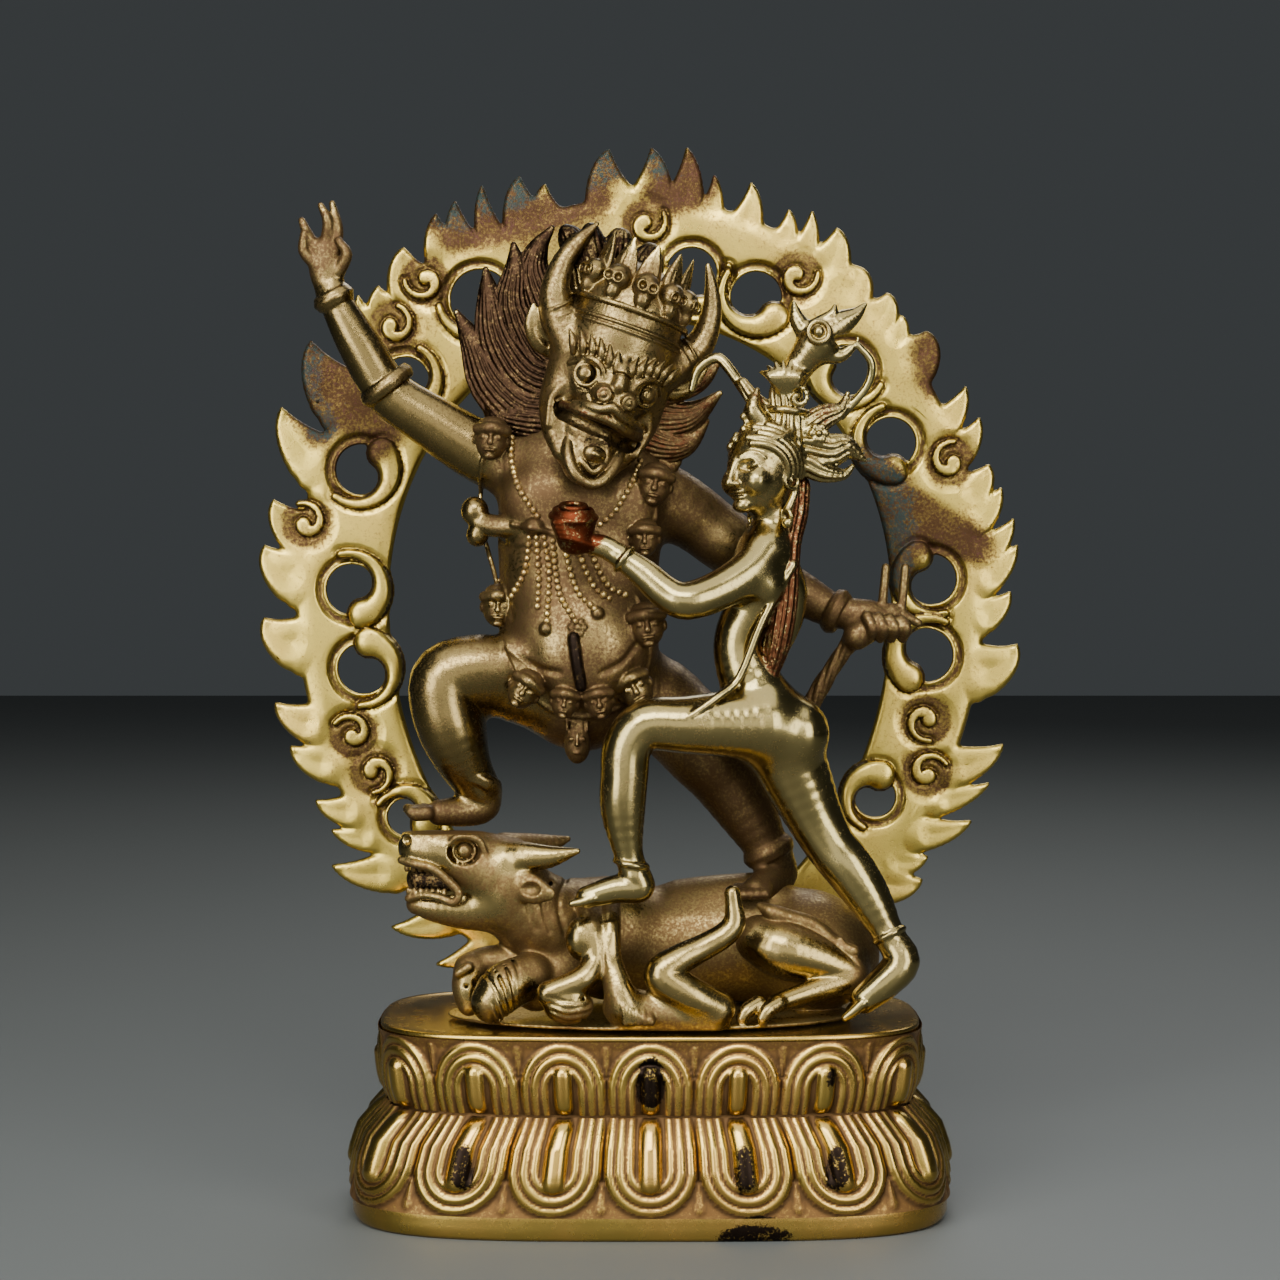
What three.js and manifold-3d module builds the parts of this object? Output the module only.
// A gilt copper figure group from the Himalayas, 33 cm tall: a horned, buffalo-headed guardian strides on a
// lying buffalo with his consort in front of him, on a lotus plinth and inside a ring of flames.
// Millimetres. X runs to the viewer's right, Y away from the viewer, Z up. The origin is the middle of the
// plinth's underside.
import * as THREE from "three";
import Module from "manifold-3d";
import { ConvexGeometry } from "three/addons/geometries/ConvexGeometry.js";
import { LoftGeometry } from "three/addons/geometries/LoftGeometry.js";
import { SimplifyModifier } from "three/addons/modifiers/SimplifyModifier.js";
import { mergeVertices } from "three/addons/utils/BufferGeometryUtils.js";

const wasm = await Module();
wasm.setup();
const { Manifold, Mesh } = wasm;

// Driving dimensions
const FIT_GAP = 0.3; // between two castings that touch
const PLINTH = { halfWidth: 91, halfDepth: 52, height: 59, squareness: 3.6, petals: 17 };
const RING = { x: -3, z: 184.5, front: 38, thick: 4 };
const RING_INNER = { half: 78, up: 86, down: 109 };
const RING_OUTER = { half: 110, up: 128, down: 126 };
const HEAD = { x: -11, y: -16, z: 252, tiltDeg: 19, turnDeg: 12 };
// Gilding as it has aged: brown in the plinth's recesses, pale on the ring, most polished on the consort
const PLINTH_GILT = { color: 0xa37c42, metalness: 1, roughness: 0.38 };
const RING_GILT = { color: 0xc4a25c, metalness: 1, roughness: 0.34 };
const MOUNT_GILT = { color: 0xa98346, metalness: 1, roughness: 0.36 };
const GUARDIAN_GILT = { color: 0xae8645, metalness: 1, roughness: 0.4 };
const CONSORT_GILT = { color: 0xbd964c, metalness: 1, roughness: 0.28 };

// Modelling helpers

// Faceted balls and tubes are made this much larger, so that their mean radius is true
const SPHERE_FILL = 1.07;
const TUBE_FILL = { 4: 1.2, 6: 1.09, 8: 1.05 };
const IN_PLACE = new THREE.Matrix4();

/** Turns a closed geometry into a solid that can be joined and cut. */
function solid(geometry) {
  const bare = new THREE.BufferGeometry().copy(geometry);
  bare.deleteAttribute("normal");
  bare.deleteAttribute("uv");
  const merged = mergeVertices(bare, 1e-4);
  return new Manifold(
    new Mesh({
      numProp: 3,
      vertProperties: merged.attributes.position.array,
      triVerts: new Uint32Array(merged.index.array),
    }),
  );
}

/** Joins solids, nested lists of them included. */
const join = (...parts) => Manifold.union(parts.flat(Infinity));

/** The smallest convex solid round some points. */
const wrap = (points) => solid(new ConvexGeometry(points));

const STRAIGHT = { way: new THREE.Vector3(), stretch: 0 };

/** How a tube's ring is stretched where its path bends, as a mitre is, and along which way. */
function bendAt(path, i) {
  if (i === 0 || i === path.length - 1) return STRAIGHT;
  const before = path[i].at.clone().sub(path[i - 1].at).normalize();
  const after = path[i + 1].at.clone().sub(path[i].at).normalize();
  const way = before.clone().sub(after);
  if (way.length() < 0.05) return STRAIGHT;
  const halfTurn = Math.asin(way.length() / 2);
  return { way: way.normalize(), stretch: Math.min(1 / Math.cos(halfTurn), 1.4) - 1 };
}

/** A limb: a faceted tube through [x, y, z, r] stations, with blunt ends. */
function limb(stations, frame = IN_PLACE) {
  const path = stations.map(([x, y, z, r]) => ({ at: new THREE.Vector3(x, y, z).applyMatrix4(frame), r }));
  const thickest = Math.max(...path.map(({ r }) => r));
  const sides = thickest > 7 ? 8 : thickest > 3.5 ? 6 : 4;
  const last = path.length - 1;
  const ways = path.map((_, i) => {
    const before = path[Math.max(i - 1, 0)].at;
    const after = path[Math.min(i + 1, last)].at;
    return after.clone().sub(before).normalize();
  });
  const blunt = (end, way) => ({
    at: path[end].at.clone().addScaledVector(ways[end], way * 0.7 * path[end].r),
    r: 0.62 * path[end].r,
    way: ways[end],
  });
  const middle = path.map((station, i) => ({ ...station, way: ways[i], bend: bendAt(path, i) }));
  const rounded = (end, way) => (path[end].r > 3.5 ? [blunt(end, way)] : []);
  const all = [...rounded(0, -1), ...middle, ...rounded(last, 1)];
  const up = Math.abs(ways[0].z) > 0.9 ? new THREE.Vector3(0, 1, 0) : new THREE.Vector3(0, 0, 1);
  const sections = all.map(({ at, r, way, bend = STRAIGHT }) => {
    up.addScaledVector(way, -up.dot(way)).normalize();
    const out = new THREE.Vector3().crossVectors(way, up);
    return Array.from({ length: sides }, (_, k) => {
      const turn = ((k + 0.5) / sides) * 2 * Math.PI;
      const reach = r * TUBE_FILL[sides];
      const arm = new THREE.Vector3().addScaledVector(up, reach * Math.cos(turn));
      arm.addScaledVector(out, reach * Math.sin(turn));
      return arm.addScaledVector(bend.way, arm.dot(bend.way) * bend.stretch).add(at);
    });
  });
  return solid(new LoftGeometry(sections, { capStart: true, capEnd: true }));
}

/** An egg-shaped mass with three radii. */
function mass([x, y, z], [rx, ry, rz], frame = IN_PLACE) {
  const egg = new THREE.IcosahedronGeometry(SPHERE_FILL, 1);
  return solid(egg.scale(rx, ry, rz).translate(x, y, z).applyMatrix4(frame));
}

/** A ring round a limb, such as a bracelet: a flat lathed hoop with its axis along the given way. */
function bracelet([x, y, z], radius, along) {
  const rim = 1.4;
  const outline = [
    [0, -rim],
    [radius + 0.8, -rim],
    [radius + 0.8, rim],
    [0, rim],
  ].map(([r, h]) => new THREE.Vector2(r, h));
  const hoop = new THREE.LatheGeometry(outline, 8);
  const turn = new THREE.Quaternion().setFromUnitVectors(
    new THREE.Vector3(0, 1, 0),
    new THREE.Vector3(...along).normalize(),
  );
  return solid(hoop.applyQuaternion(turn).translate(x, y, z));
}

/** Cuts away the neighbours and leaves the fitting gap round them. */
function clearOf(piece, ...neighbours) {
  const gap = FIT_GAP * 1.2;
  const ways = [
    [gap, 0, 0],
    [-gap, 0, 0],
    [0, gap, 0],
    [0, -gap, 0],
    [0, 0, gap],
    [0, 0, -gap],
  ];
  return piece.subtract(join(neighbours.map((other) => ways.map((way) => other.translate(way)))));
}

/** The largest body of a solid, without the loose chips that a cut can leave. */
function mainBody(piece) {
  return piece.decompose().sort((a, b) => b.volume() - a.volume())[0];
}

/** A block that reaches from z = low to z = high under or over the whole group. */
function slab(low, high) {
  const width = 400;
  return solid(new THREE.BoxGeometry(width, width, high - low).translate(0, 0, (low + high) / 2));
}

/** The surface of a solid as a geometry. */
function surface(body) {
  const { vertProperties, triVerts } = body.getMesh();
  const geometry = new THREE.BufferGeometry();
  geometry.setAttribute("position", new THREE.BufferAttribute(new Float32Array(vertProperties), 3));
  geometry.setIndex(new THREE.BufferAttribute(triVerts, 1));
  return geometry;
}

/** The same shape without the corners that joining leaves on nearly flat ground. */
async function lighten(body, share = 0.4) {
  const geometry = surface(body);
  const spare = Math.floor(geometry.attributes.position.count * share);
  return solid(await new SimplifyModifier().modify(geometry, spare));
}

/** A piece cut clear of its neighbours, without loose chips and needle-thin facets. */
const seat = (body, ...neighbours) => lighten(mainBody(clearOf(body, ...neighbours)), 0.08);

/** A mesh of its own, named and in its own finish. */
function piece(name, body, finish) {
  const geometry = surface(body);
  geometry.computeVertexNormals();
  const mesh = new THREE.Mesh(geometry, new THREE.MeshStandardMaterial(finish));
  mesh.name = name;
  return mesh;
}

// Lotus plinth

const PLAIN_BACK = 4; // petals left out, because the back is plain
// Height and share of the full plan, from the underside to the top edge
const PLINTH_PROFILE = [
  [0, 0.985],
  [2.5, 1],
  [11, 1],
  [28, 0.935],
  [PLINTH.height * 0.61, 0.865],
  [43, 0.875],
  [57.5, 0.905],
  [PLINTH.height, 0.893],
];

/** The plan's share of its full size at a height, between the profile's points. */
function plinthShare(z) {
  const above = PLINTH_PROFILE.findIndex(([height]) => height >= z);
  if (above <= 0) return PLINTH_PROFILE[0][1];
  const [z0, s0] = PLINTH_PROFILE[above - 1];
  const [z1, s1] = PLINTH_PROFILE[above];
  return s0 + ((s1 - s0) * (z - z0)) / (z1 - z0);
}

/** A point of the rounded oblong plan, by the angle from the front's middle, turning to the right. */
function planPoint(angle) {
  const power = 2 / PLINTH.squareness;
  const across = Math.sin(angle);
  const deep = -Math.cos(angle);
  return new THREE.Vector2(
    PLINTH.halfWidth * Math.sign(across) * Math.abs(across) ** power,
    PLINTH.halfDepth * Math.sign(deep) * Math.abs(deep) ** power,
  );
}

const PLAN = new THREE.SplineCurve(
  Array.from({ length: 145 }, (_, i) => planPoint((i / 144) * 2 * Math.PI)),
);
PLAN.arcLengthDivisions = 1440;

/** A point on the plinth's skin at a share of the way round, at a height, raised by so much. */
function skinPoint(round, z, raised = 0) {
  const at = PLAN.getPointAt(((round % 1) + 1) % 1);
  const share = plinthShare(z) + raised / at.length();
  return new THREE.Vector3(at.x * share, at.y * share, z);
}

/** The plain body under the petals. */
function plinthBody() {
  const around = PLINTH.petals * 2;
  const sections = PLINTH_PROFILE.map(([z]) =>
    Array.from({ length: around }, (_, i) => skinPoint(i / around, z)),
  );
  return solid(new LoftGeometry(sections, { capStart: true, capEnd: true }));
}

/** One petal: an arched leaf from its root to its tip height, with a long boss down its middle. */
function petal(round, root, tip) {
  const width = 0.47 / PLINTH.petals;
  const leaf = (share, raised) =>
    Array.from({ length: 7 }, (_, i) => {
      const turn = (i / 6) * Math.PI;
      const z = root + (tip - root) * (i % 6 ? 0.5 + 0.5 * Math.sin(turn) * share : 0);
      return skinPoint(round + Math.cos(turn) * width * share, z, raised);
    });
  const boss = Array.from({ length: 4 }, (_, i) => {
    const turn = (i / 4) * 2 * Math.PI;
    const z = root + (tip - root) * (0.38 + 0.3 * Math.sin(turn));
    return skinPoint(round + Math.cos(turn) * width * 0.34, z, 0.5);
  });
  const ridge = [0.27, 0.5].map((share) => skinPoint(round, root + (tip - root) * share, 3.4));
  return [wrap([...leaf(1, -1), ...leaf(0.86, 1.6)]), wrap([...boss, ...ridge])];
}

function lotusPlinth() {
  const waist = PLINTH.height * 0.61;
  const carved = (PLINTH.petals - PLAIN_BACK - 1) / 2;
  const petals = Array.from({ length: 2 * carved + 1 }, (_, i) => [
    petal((i - carved) / PLINTH.petals, waist + 0.6, 56.5),
    petal((i - carved) / PLINTH.petals, waist - 0.6, 10.5),
  ]);
  return join(plinthBody(), petals).subtract(slab(-20, 0)).subtract(slab(PLINTH.height, 90));
}

// Flame ring

// Flames round the ring, from the top down each side: clock angle of the tip in degrees, how far it stands
// beyond the ring and half its width at the root
const RIGHT_FLAMES = [
  [1.5, 16, 7],
  [6, 17, 6],
  [10, 9, 3.5],
  [15, 10, 5],
  [21, 7, 4],
  [24, 10, 4],
  [28, 10, 7],
  [33, 3, 8],
  [39, 5, 6],
  [43, 4, 4],
  [47, 7, 8],
  [57, 9, 4.5],
  [62, 9, 5],
  [69, 7, 6],
  [73, 9, 5],
  [78, 11, 5],
  [82, 11, 5],
  [89, 8, 5],
  [97, 12, 8],
  [112, 13, 6],
  [118, 13, 4],
  [124, 13, 5],
  [132, 7, 5],
  [135, 10, 7],
];
const LEFT_FLAMES = [
  [4, 15, 8],
  [13, 8, 5],
  [16, 13, 7],
  [21, 15, 4.5],
  [25, 15, 6],
  [28, 15, 7],
  [34, 13, 9],
  [40, 10, 7],
  [43, 13, 5],
  [52, 17, 9],
  [62, 16, 8],
  [75, 10, 7],
  [82, 12, 8],
  [93, 10, 8],
  [106, 10, 6],
  [113, 9, 6],
  [122, 8, 5],
  [127, 8, 4],
  [131, 14, 6],
  [143, 12, 5],
  [151, 12, 4],
];
// Round openings: clock angle, distance from the ring's middle and radius
const RIGHT_EYES = [
  [9, 105, 8],
  [21, 103, 8],
  [42, 98, 8],
  [58, 94, 8],
  [86, 93, 8],
  [101, 93, 8.5],
  [130, 98, 6.5],
];
const LEFT_EYES = [
  [28, 108, 9.5],
  [47, 102, 7.5],
  [65, 98, 8],
  [88, 92, 8],
  [104, 91, 8],
  [133, 102, 6],
];
// Raised scrolls: clock angle, distance from the ring's middle, and which way each one curls
const RIGHT_SCROLLS = [
  [1, 119, 1],
  [26, 114, 1],
  [66, 108, -1],
  [113, 99, 1],
  [121, 107, -1],
];
const LEFT_SCROLLS = [
  [34, 122, 1],
  [42, 117, -1],
  [77, 109, -1],
  [115, 101, -1],
  [123, 101, 1],
];

/** The radius of an egg-shaped line at a clock angle. */
function eggRadius({ half, up, down }, angle) {
  const rise = Math.cos(angle) > 0 ? up : down;
  return 1 / Math.hypot(Math.sin(angle) / half, Math.cos(angle) / rise);
}

/** A point of the ring's own plane, by clock angle and distance from its middle. */
const clockPoint = (angle, radius) =>
  new THREE.Vector2(RING.x + radius * Math.sin(angle), RING.z + radius * Math.cos(angle));

/** One flame of the ring's outline: it leans up from its root to its tip. */
function flame(side, [degrees, reach, width]) {
  const angle = side * THREE.MathUtils.degToRad(degrees);
  const tip = clockPoint(angle, eggRadius(RING_OUTER, angle) + reach);
  const along = new THREE.Vector2(0.8 * Math.sin(angle), 0.75 + Math.cos(angle)).normalize();
  const outwards = new THREE.Vector2(along.y, -along.x).multiplyScalar(side);
  const root = 8; // hidden in the ring
  const edge = (up, out) => tip.clone().addScaledVector(along, up).addScaledVector(outwards, out);
  return plate(
    new THREE.Shape([
      edge(0, -1),
      edge(-reach * 0.6, -width * 0.4),
      edge(-reach - root, -width),
      edge(-reach - root, width * 1.2),
      edge(-reach * 0.6, width * 0.85),
      edge(0, 1),
    ]),
    RING.front,
    RING.thick,
  );
}

/** A closed egg-shaped outline, with shallow lobes where a depth is given. */
function eggOutline(egg, lobeDepth = 0) {
  const steps = 48;
  return new THREE.Shape(
    Array.from({ length: steps }, (_, i) => {
      const angle = (i / steps) * 2 * Math.PI;
      return clockPoint(angle, eggRadius(egg, angle) - lobeDepth * Math.abs(Math.sin(8 * angle)));
    }),
  );
}

/** A flat shape of the ring's plane as a plate from the depth `front` backwards. */
function plate(shape, front, thick) {
  const flat = new THREE.ExtrudeGeometry(shape, { depth: thick, bevelEnabled: false });
  return solid(flat.rotateX(Math.PI / 2).translate(0, front + thick, 0));
}

/** A raised scroll: a comma that curls round its own head. */
function scroll(side, [degrees, distance, hand]) {
  const steps = 4;
  const size = 7;
  const angle = side * THREE.MathUtils.degToRad(degrees);
  const middle = clockPoint(angle, distance);
  const edge = (waist) =>
    Array.from({ length: steps + 1 }, (_, i) => {
      const along = i / steps;
      const turn = side * hand * along * 1.5 * Math.PI + angle;
      const reach = size * (1 - 0.5 * along) * (1 - waist * Math.sin(Math.PI * (0.15 + 0.8 * along)));
      return new THREE.Vector2(middle.x + reach * Math.sin(turn), middle.y + reach * Math.cos(turn));
    });
  const raised = 1.6;
  return plate(new THREE.Shape([...edge(0), ...edge(0.42).reverse()]), RING.front - raised, raised + 1);
}

/** A round opening right through the ring. */
function eye(side, [degrees, distance, radius]) {
  const { x, y } = clockPoint(side * THREE.MathUtils.degToRad(degrees), distance);
  const rim = Array.from({ length: 8 }, (_, i) => {
    const turn = (i / 8) * 2 * Math.PI;
    return new THREE.Vector2(x + radius * Math.cos(turn), y + radius * Math.sin(turn));
  });
  return plate(new THREE.Shape(rim), RING.front - 9, RING.thick + 18);
}

function flameRing() {
  const bothSides = (make, right, left) => [
    right.map((entry) => make(1, entry)),
    left.map((entry) => make(-1, entry)),
  ];
  const foot = new THREE.Shape([
    new THREE.Vector2(RING.x - 62, PLINTH.height + 20),
    new THREE.Vector2(RING.x - 48, PLINTH.height + FIT_GAP),
    new THREE.Vector2(RING.x + 48, PLINTH.height + FIT_GAP),
    new THREE.Vector2(RING.x + 62, PLINTH.height + 20),
  ]);
  const metal = [
    plate(eggOutline(RING_OUTER), RING.front, RING.thick),
    plate(foot, RING.front, RING.thick),
    bothSides(flame, RIGHT_FLAMES, LEFT_FLAMES),
    bothSides(scroll, RIGHT_SCROLLS, LEFT_SCROLLS),
  ];
  const cut = [
    plate(eggOutline(RING_INNER, 3), RING.front - 9, RING.thick + 18),
    bothSides(eye, RIGHT_EYES, LEFT_EYES),
    slab(0, PLINTH.height + FIT_GAP),
  ];
  return join(metal).subtract(join(cut));
}

// Guardian: the horned, buffalo-headed figure

/** The head's own frame: the face looks along -Y, X is its left and Z its crown. */
const HEAD_FRAME = new THREE.Matrix4()
  .makeTranslation(HEAD.x, HEAD.y, HEAD.z)
  .multiply(new THREE.Matrix4().makeRotationY(THREE.MathUtils.degToRad(HEAD.tiltDeg)))
  .multiply(new THREE.Matrix4().makeRotationZ(THREE.MathUtils.degToRad(HEAD.turnDeg)));

/** The five small skulls of the crown, each with a pointed leaf behind it. */
function crown() {
  return [-64, -32, 0, 32, 64].map((degrees) => {
    const turn = THREE.MathUtils.degToRad(degrees);
    const [x, y] = [16.5 * Math.sin(turn), -16.5 * Math.cos(turn)];
    return [
      limb([[x, y, 27.5, 4], [x, y, 22.5, 2.8]], HEAD_FRAME),
      limb([[x, y * 0.86, 28, 3.6], [x, y * 0.86, 38.5, 0.8]], HEAD_FRAME),
    ];
  });
}

function guardianHead() {
  const sides = [-1, 1].map((side) => [
    limb(
      [
        [side * 17, -1, 9, 6],
        [side * 23, 0, 17, 4.2],
        [side * 23.5, 0, 27, 3.2],
        [side * 20, 0, 40, 1],
      ],
      HEAD_FRAME,
    ),
    limb([[side * 19, 3, 3, 3], [side * 27, 2, 8, 4.4], [side * 29, 2, 14, 1.6]], HEAD_FRAME),
    limb([[side * 8, -15, 6, 3.4], [side * 15, -9, 5, 3.4]], HEAD_FRAME),
    limb([[side * 4, -24.5, -5.5, 3], [side * 5, -22, -11, 3]], HEAD_FRAME),
    limb([[side * 12, -4, -4, 7], [side * 8, -5, -20, 4]], HEAD_FRAME),
  ]);
  return [
    mass([0, 1, 5], [19, 17, 20], HEAD_FRAME),
    limb([[0, -9, 0, 11], [0, -18, -7, 8.5]], HEAD_FRAME),
    limb([[-8, -17, -13, 3], [0, -22, -12, 3.4], [8, -17, -13, 3]], HEAD_FRAME),
    limb(
      [
        [-7, -6, -22, 4],
        [-5, -13, -31, 3.6],
        [0, -15, -33, 3.6],
        [5, -13, -31, 3.6],
        [7, -6, -22, 4],
      ],
      HEAD_FRAME,
    ),
    limb([[0, -4, -20, 7], [0, -11, -28, 4]], HEAD_FRAME),
    limb([[0, 0, 14, 17.5], [0, 0.5, 20, 17]], HEAD_FRAME),
    limb([[0, 5, 22, 12], [-5, 9, 37, 7.5]], HEAD_FRAME),
    crown(),
    sides,
  ];
}

/** The flame-shaped mane, in locks that sweep out behind the head. */
function mane() {
  return [
    limb([[-24, -6, 246, 9], [-38, -3, 247, 9], [-48, -1, 254, 8], [-54, 0, 264, 5], [-60, 1, 273, 1]]),
    limb([[-24, -4, 252, 10], [-38, -2, 256, 9], [-45, 0, 268, 7], [-48, 1, 277, 4], [-50, 1, 285, 1]]),
    limb([[-24, -2, 258, 10], [-34, 0, 266, 9], [-39, 1, 279, 6], [-41, 1, 293, 1.2]]),
    limb([[-22, 0, 264, 10], [-29, 1, 276, 8], [-34, 2, 287, 5], [-30, 2, 298, 1.2]]),
    limb([[-46, -4, 240, 5], [-36, -5, 243, 7], [-24, -6, 244, 8]]),
    limb([[-8, -4, 244, 8], [-1, -2, 240, 8], [9, -2, 240, 5.4], [21, -2, 247, 1.2]]),
    limb([[-8, -4, 238, 8], [0, -2, 234, 7], [9, -2, 232, 4], [17, -2, 239, 1]]),
    limb([[-4, -6, 250, 8], [4, -5, 250, 6], [13, -6, 252, 4.6], [21, -6, 258, 1]]),
  ];
}

/** Severed heads strung on a cord: centres on the outline of the body. */
const GARLAND = [
  [-49, -10, 234],
  [-51.5, -6, 209],
  [-47, -12, 183],
  [-35, -16, 159],
  [-21.5, -18, 143],
  [-3.5, -19, 158],
  [1.5, -16, 175],
  [2, -14, 222],
];

function guardianBody() {
  return [
    limb([
      [-32, 0, 226, 15],
      [-30, -1, 213, 18],
      [-27, -3, 190, 19.5],
      [-24, -5, 172, 20.5],
      [-21, -3, 157, 16.5],
    ]),
    limb([
      [-8, 1, 223, 13],
      [-11, 0, 212, 16.5],
      [-16, -3, 190, 18],
      [-17, -5, 172, 19.5],
      [-20, -3, 158, 17],
    ]),
    limb([[-19, -2, 232, 11], [-15, -8, 243, 12]]),
    GARLAND.map(([x, y, z]) => limb([[x, y, z + 1.2, 4.4], [x, y - 0.6, z - 3, 3]])),
    limb([[-27, -14, 152, 4], [-21.5, -17, 145, 3.4]]),
  ];
}

function guardianArms() {
  return [
    limb([
      [-42, 0, 228, 10],
      [-53, -1, 231, 9.3],
      [-79, -5, 248, 7.6],
      [-87, -6.5, 261, 6.6],
      [-95.5, -8, 277, 5.2],
    ]),
    bracelet([-79, -5, 249], 8, [-14, -2, 18]),
    bracelet([-95.5, -8, 277], 5.6, [-9, -2, 18]),
    limb([[-96, -8, 280, 4.8], [-97.5, -8, 290, 4.4]]),
    limb([[-97, -8, 291, 3.2], [-95, -9, 299, 2], [-97, -9, 304.6, 1.3]]),
    limb([[-100, -8, 290, 3], [-104.5, -10, 297, 1.5]]),
    limb([[0, 2, 216, 12], [9, 3, 213, 10], [35, 9, 193, 8.6], [57, 4, 181.5, 5.2], [67, 2, 180.5, 5]]),
    bracelet([57, 4, 181.5], 5.8, [22, -5, -11]),
    limb([[63, -1, 174, 4.4], [68, 0, 177, 4.6], [75, 1, 181, 2.6], [82, 1, 178, 1.6]]),
    limb([[72, 1, 195, 1.5], [70.5, 1, 180, 1.5]]),
    limb([[78, 1, 195, 1.5], [76.5, 1, 180, 1.5]]),
    limb([[64, 1, 176, 3.4], [51, 3, 156, 3.2], [46, 4, 146, 2.6]]),
  ];
}

function guardianLegs() {
  return [
    limb([
      [-20, -3, 158, 15],
      [-36, -7, 160, 13.4],
      [-57, -16, 164, 11],
      [-65, -20, 159, 9.6],
      [-60, -18, 146, 9.4],
      [-52, -12, 130, 6.4],
    ]),
    bracelet([-52.5, -12.5, 130.5], 7.6, [2, 1, 10]),
    limb([[-47, -7, 121, 4.8], [-55, -15, 124, 6], [-72, -22, 122.5, 3.4], [-75, -23, 126.5, 1.6]]),
    limb([[-14, 2, 158, 15], [2, 4, 154, 13.4], [21, 4, 133, 11.4], [31, 4, 118, 8.6], [37, 4, 107, 6.2]]),
    bracelet([37, 4, 108], 7.2, [5, 0, -10]),
    limb([[40, 6, 100, 5], [36, -2, 101, 5], [30, -10, 100, 3]]),
  ];
}

const guardian = () => join(guardianBody(), guardianHead(), mane(), guardianArms(), guardianLegs());

// Consort: she strides to the left with the skull cup raised

function consortHead() {
  return [
    mass([36.5, -25, 226], [12, 10.5, 14]),
    limb([[31, -25, 222, 8], [28, -25, 217, 5.6]]),
    limb([[25.5, -25, 220.5, 2.8], [24, -25, 218, 1.6]]),
    limb([[36, -25, 212, 5.6], [35.5, -25, 204, 5.8]]),
    limb([[41, -24, 236, 8], [41, -24, 243, 6], [44, -24, 252, 6.5]]),
    limb([[45, -25, 252, 5], [52, -25, 262, 5.6], [64, -25, 271, 1.2]]),
    limb([[50, -25, 256, 4], [60, -25, 262, 1.4]]),
    limb([[52, -25, 263, 4.8], [44, -25, 271, 2]]),
    limb([[40, -25, 252, 4.5], [28, -24, 248, 4], [24, -23, 256, 1.4]]),
    limb([[47, -23, 230, 6], [58, -22, 229, 6], [65, -22, 228, 2]]),
    limb([[45, -23, 237, 5], [58, -22, 243, 3.5], [64, -21, 252, 1.8]]),
    limb([[64, -21, 252, 1.8], [68, -21, 245, 1.8], [64, -22, 234, 1.8]]),
    limb([[26, -20, 246, 1.8], [21, -19, 257, 1.8], [16, -18, 249, 1.6]]),
    limb([[44, -22, 206, 5.4], [46, -20, 184, 4.8], [43, -17, 160, 3.2]]),
  ];
}

function consortBody() {
  return [
    mass([33.5, -25, 191], [10.5, 9.6, 12]),
    limb([[32, -25, 186, 8.6], [25.5, -24, 171, 8.4], [34, -24, 152, 11]]),
    mass([36, -24, 147], [14, 11.6, 12.6]),
    limb([
      [36, -31, 197, 6.8],
      [24, -36, 190, 6.2],
      [11, -40, 185.5, 5.8],
      [1, -39, 191, 5],
      [-8, -38, 198, 3.8],
    ]),
    limb([[-9, -38, 199, 3.8], [-18, -36.5, 202, 3.8], [-26, -36, 203, 2.4]]),
    limb([[-22, -37, 204, 6], [-22.5, -37, 209.5, 7]]),
    limb([[38, -18, 196, 6], [41, -14, 180, 5], [34, -15, 164, 4]]),
    limb([
      [33, -28, 149, 11.4],
      [10, -33, 148.5, 8.6],
      [-6.5, -34.5, 147, 7.4],
      [-7.4, -35, 132, 7],
      [-6.5, -35, 112, 4.6],
    ]),
    limb([[-5.5, -35, 112, 4.4], [-3.5, -34.6, 103, 4.6]]),
    limb([[-4, -34.6, 102.5, 4.4], [-11, -35.5, 101.5, 3.8], [-22, -36, 97.8, 2.4]]),
    limb([[38, -22, 146, 12], [49, -21, 121, 8.6], [59, -23, 106, 7.6], [71, -25.5, 86, 4.8]]),
    limb([[70.5, -25.5, 87, 4.6], [76, -27, 78, 4.8]]),
    limb([[77, -27, 78, 4.4], [70, -28, 71.5, 4.2], [59, -29, 61.6, 2.6]]),
    limb([[42, -31, 196, 1.5], [26, -36, 163, 1.5], [12, -40, 152, 1.3]]),
  ];
}

const consort = () => join(consortHead(), consortBody());

// Buffalo, with the prostrate figure it lies on

/** The flat cast ground that the animal and both figures' feet share. */
function ground() {
  const disc = new THREE.CylinderGeometry(0.96, 1, 3, 20).rotateX(Math.PI / 2);
  return solid(disc.scale(68, 33, 1).translate(0, -8, 60.5));
}

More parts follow.
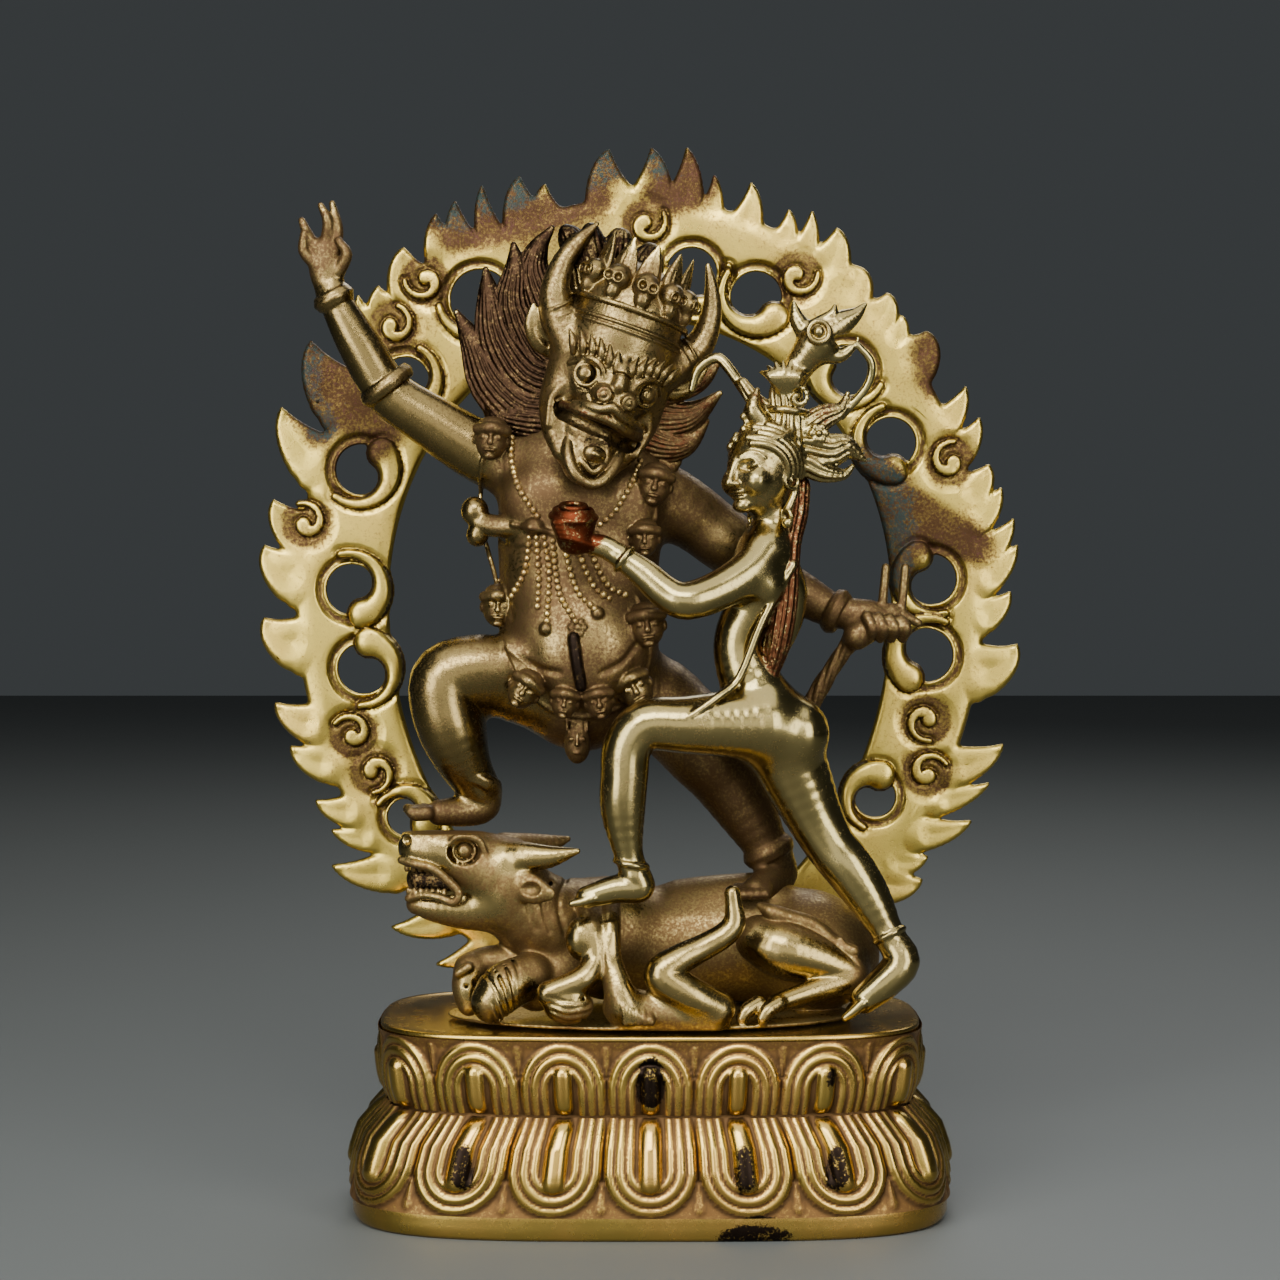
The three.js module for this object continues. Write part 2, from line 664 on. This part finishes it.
function buffaloBody() {
  return [
    limb([[-12, 4, 80, 18], [20, 6, 80, 18.5], [48, 5, 78, 18]]),
    mass([50, -4, 76], [20, 16, 17]),
    limb([[58, -16, 72, 8], [66, -18, 66, 5], [44, -26, 62.5, 3.4]]),
    limb([[-14, -2, 84, 16], [-30, -12, 88, 14], [-44, -18, 98, 13]]),
    limb([[-26, -12, 74, 12], [-36, -18, 66, 7], [-52, -26, 63, 4]]),
    limb([[-34, -6, 66, 7], [-58, -8, 64, 5]]),
    limb([[36, -12, 92, 2.6], [52, -17, 90, 2.6], [64, -19, 82, 2.2], [60, -22, 70, 2.6]]),
    limb([[10, 4, 92, 6], [36, 2, 95.5, 6]]),
    ground(),
  ];
}

function buffaloHead() {
  return [
    limb([[-46, -19, 103, 12], [-62, -22, 105, 9], [-70, -23, 102, 5.6]]),
    limb([[-44, -19, 94, 9], [-58, -22, 88.5, 4.6], [-66, -23, 87, 2.8]]),
    limb([[-42, -22, 108, 5], [-30, -27, 107, 4.4], [-22, -30, 109.5, 1.2]]),
    limb([[-44, -10, 110, 5], [-34, -4, 110, 4], [-26, 0, 111, 1.2]]),
    limb([[-38, -28, 101, 3.6], [-30, -32, 96, 1.6]]),
    limb([[-58, -28, 108, 3], [-52, -29, 109, 3]]),
  ];
}

function prostrateFigure() {
  return [
    limb([[-19, -30, 88, 5.6], [-16.5, -34, 75, 4.6], [-27, -38, 64, 3.4], [-31, -39, 62, 2]]),
    limb([[-10, -32, 86, 3], [-11, -37, 72, 3.2], [-8, -40, 63, 3.4]]),
    limb([[22, -34, 64, 5], [2, -36, 74, 5.4], [14, -34, 80, 4.6], [27, -32, 84, 3.4], [28, -31, 98, 2]]),
    limb([[-8, -34, 66, 6], [18, -34, 62, 5]]),
  ];
}

const buffalo = () => {
  const all = join(buffaloBody(), buffaloHead(), prostrateFigure());
  return all.subtract(slab(0, PLINTH.height + FIT_GAP));
};

// The group

const plinth = await lighten(lotusPlinth());
const ring = flameRing();
const mount = await seat(await lighten(buffalo()), ring);
const god = await seat(await lighten(guardian()), mount, ring);
const lady = await seat(await lighten(consort()), god, mount, plinth);

const figures = new THREE.Group();
figures.add(
  piece("buffalo_mount", mount, MOUNT_GILT),
  piece("guardian", god, GUARDIAN_GILT),
  piece("consort", lady, CONSORT_GILT),
);

const statue = new THREE.Group();
statue.add(
  piece("lotus_plinth", plinth, PLINTH_GILT),
  piece("flame_ring", ring, RING_GILT),
  figures,
);

export default statue;
